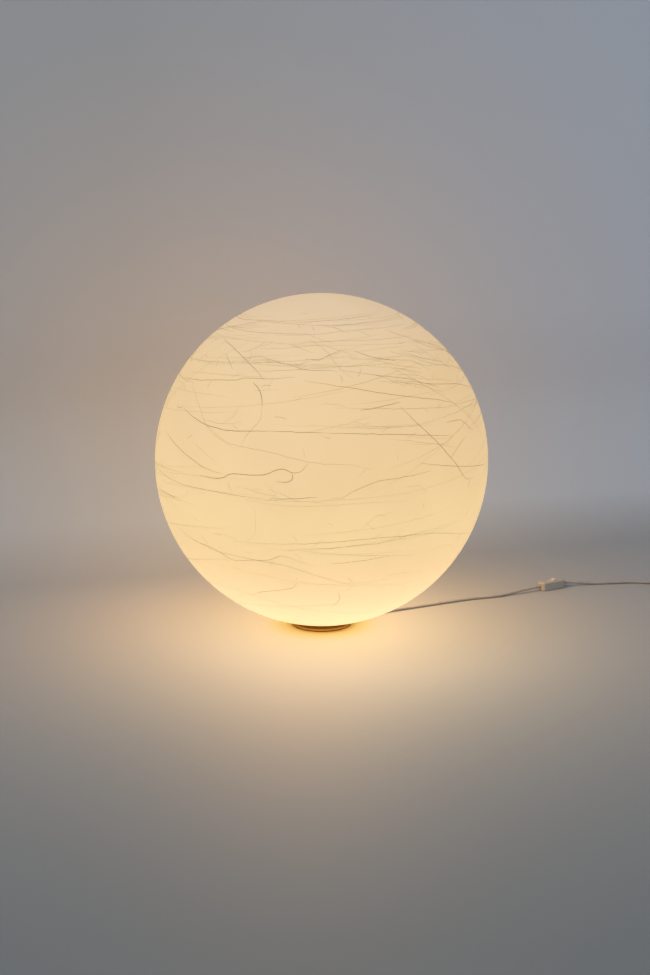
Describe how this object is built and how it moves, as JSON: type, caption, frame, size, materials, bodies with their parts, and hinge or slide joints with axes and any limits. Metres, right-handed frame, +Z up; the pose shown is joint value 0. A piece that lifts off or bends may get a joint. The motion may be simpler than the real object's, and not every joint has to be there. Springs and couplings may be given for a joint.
{
  "type": "globe table lamp",
  "caption": "Large moulded resin globe lamp that stands over its bulb on a small round chromed dish, with a flex, an in-line rocker switch and a two-pin plug.",
  "frame": {"origin": "on the axis of the globe and its dish, on the surface that the lamp stands on", "axes": "+Z up along the axis of the globe, +X to the right of the front, +Y towards the back; the flex leaves the dish between +X and +Y"},
  "size_m": [0.9849, 0.4998, 0.5069],
  "materials": {
    "globe_resin": "satin",
    "dish_chrome": "polished",
    "soft_rubber": "matte",
    "ballast_iron": "matte",
    "cover_steel": "satin",
    "zinc_steel": "satin",
    "flex_pvc": "satin",
    "inner_nylon": "matte",
    "tie_plastic": "matte",
    "core_insulation": "satin",
    "holder_plastic": "gloss",
    "holder_ceramic": "matte",
    "contact_brass": "satin",
    "bulb_cap_metal": "satin",
    "bulb_cap_glass": "gloss",
    "bulb_housing_plastic": "satin",
    "bulb_board": "matte",
    "bulb_opal": "satin",
    "white_abs": "satin",
    "pin_nickel": "satin",
    "pin_sleeve": "matte"
  },
  "bodies": {
    "root": {"ballast_ring": "ballast_iron", "base_cover": "cover_steel", "base_dish": "dish_chrome", "clamp_screws": "zinc_steel", "cord_bush": "flex_pvc", "cord_clamp": "inner_nylon", "cord_coil": "flex_pvc", "cord_lamp_side": "flex_pvc", "cord_plug_end": "flex_pvc", "cord_tie": "tie_plastic", "cord_wall_side": "flex_pvc", "core_leads": "core_insulation", "cover_screws": "zinc_steel", "foot_ring": "soft_rubber", "holder_body": "holder_plastic", "holder_cap": "holder_plastic", "holder_centre_contact": "contact_brass", "holder_insert": "holder_ceramic", "holder_lock_screw": "zinc_steel", "holder_terminal_screws": "contact_brass", "holder_thread_shell": "contact_brass", "nipple_nut": "zinc_steel", "nipple_washer": "zinc_steel", "plug_body": "white_abs", "plug_pin_sleeves": "pin_sleeve", "plug_pins": "pin_nickel", "seat_gasket": "soft_rubber", "switch_base_shell": "white_abs", "switch_cord_grips": "inner_nylon", "switch_rocker_pin": "zinc_steel", "switch_screws": "zinc_steel", "switch_terminals": "contact_brass", "switch_top_shell": "white_abs", "threaded_nipple": "zinc_steel"},
    "globe": {"globe_shell": "globe_resin"},
    "bulb": {"bulb_cap_insulator": "bulb_cap_glass", "bulb_cap_shell": "bulb_cap_metal", "bulb_centre_contact": "bulb_cap_metal", "bulb_diffuser": "bulb_opal", "bulb_housing": "bulb_housing_plastic", "bulb_led_board": "bulb_board"},
    "rocker": {"switch_rocker": "white_abs", "switch_contact_bridge": "contact_brass"}
  },
  "joints": [
    {"name": "globe_lift", "type": "slide", "parent": "root", "child": "globe", "axis": [0, 0, 1], "range_m": [0, 0.145]},
    {"name": "bulb_unscrew", "type": "slide", "parent": "root", "child": "bulb", "axis": [0, 0, 1], "range_m": [0, 0.024]},
    {"name": "rocker_tilt", "type": "hinge", "parent": "root", "child": "rocker", "pos_m": [0.3801, 0.1884, 0.0106], "axis": [-0.5, 0.866, 0], "range_deg": [0, 24]}
  ]
}
